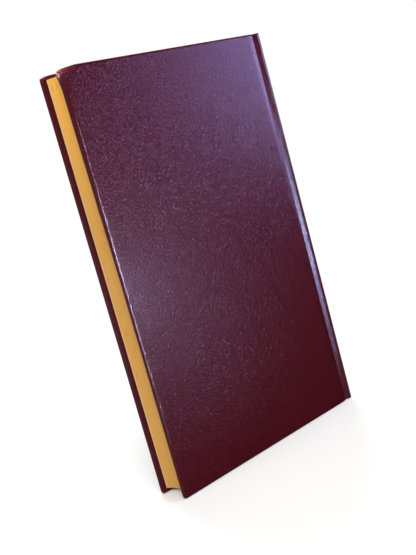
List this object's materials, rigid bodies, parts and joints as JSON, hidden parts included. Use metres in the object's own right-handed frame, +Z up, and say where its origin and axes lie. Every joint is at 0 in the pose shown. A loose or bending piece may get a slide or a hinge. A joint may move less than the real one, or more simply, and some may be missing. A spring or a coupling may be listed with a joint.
{
  "type": "hardback book",
  "caption": "Closed hardback book with plain covers that open on their joints, a rounded spine and a hollow fore-edge.",
  "frame": {"origin": "centre of the book's box, on the surface that it stands on by its tail", "axes": "+X from the fore-edge towards the spine, +Y from the back cover towards the front cover, +Z up the height from tail to head"},
  "size_m": [0.1506, 0.0232, 0.24],
  "materials": {
    "covering": "burgundy imitation leather with a fine pebbled grain, satin",
    "page_edges": "golden yellow toned page edges, matt",
    "endpaper": "toned cream endpaper, matt",
    "board": "grey board",
    "lining_paper": "brown lining paper",
    "gauze": "open starched cotton gauze",
    "band": "woven band with a striped bead"
  },
  "bodies": {
    "block": {"text_block": "page_edges", "back_flyleaf": "endpaper", "front_flyleaf": "endpaper", "spine_gauze": "gauze", "spine_lining": "lining_paper", "head_band": "band", "tail_band": "band", "spine_inlay": "board", "spine_cloth": "covering"},
    "back_cover": {"back_board": "board", "back_cover_cloth": "covering", "back_gauze_flap": "gauze", "back_pastedown": "endpaper"},
    "front_cover": {"front_board": "board", "front_cover_cloth": "covering", "front_gauze_flap": "gauze", "front_pastedown": "endpaper"}
  },
  "joints": [
    {"name": "back_cover_hinge", "type": "hinge", "parent": "block", "child": "back_cover", "pos_m": [0.07201, -0.01038, 0.12], "axis": [0, 0, 1], "range_deg": [0, 180]},
    {"name": "front_cover_hinge", "type": "hinge", "parent": "block", "child": "front_cover", "pos_m": [0.07201, 0.01038, 0.12], "axis": [0, 0, -1], "range_deg": [0, 180]}
  ]
}
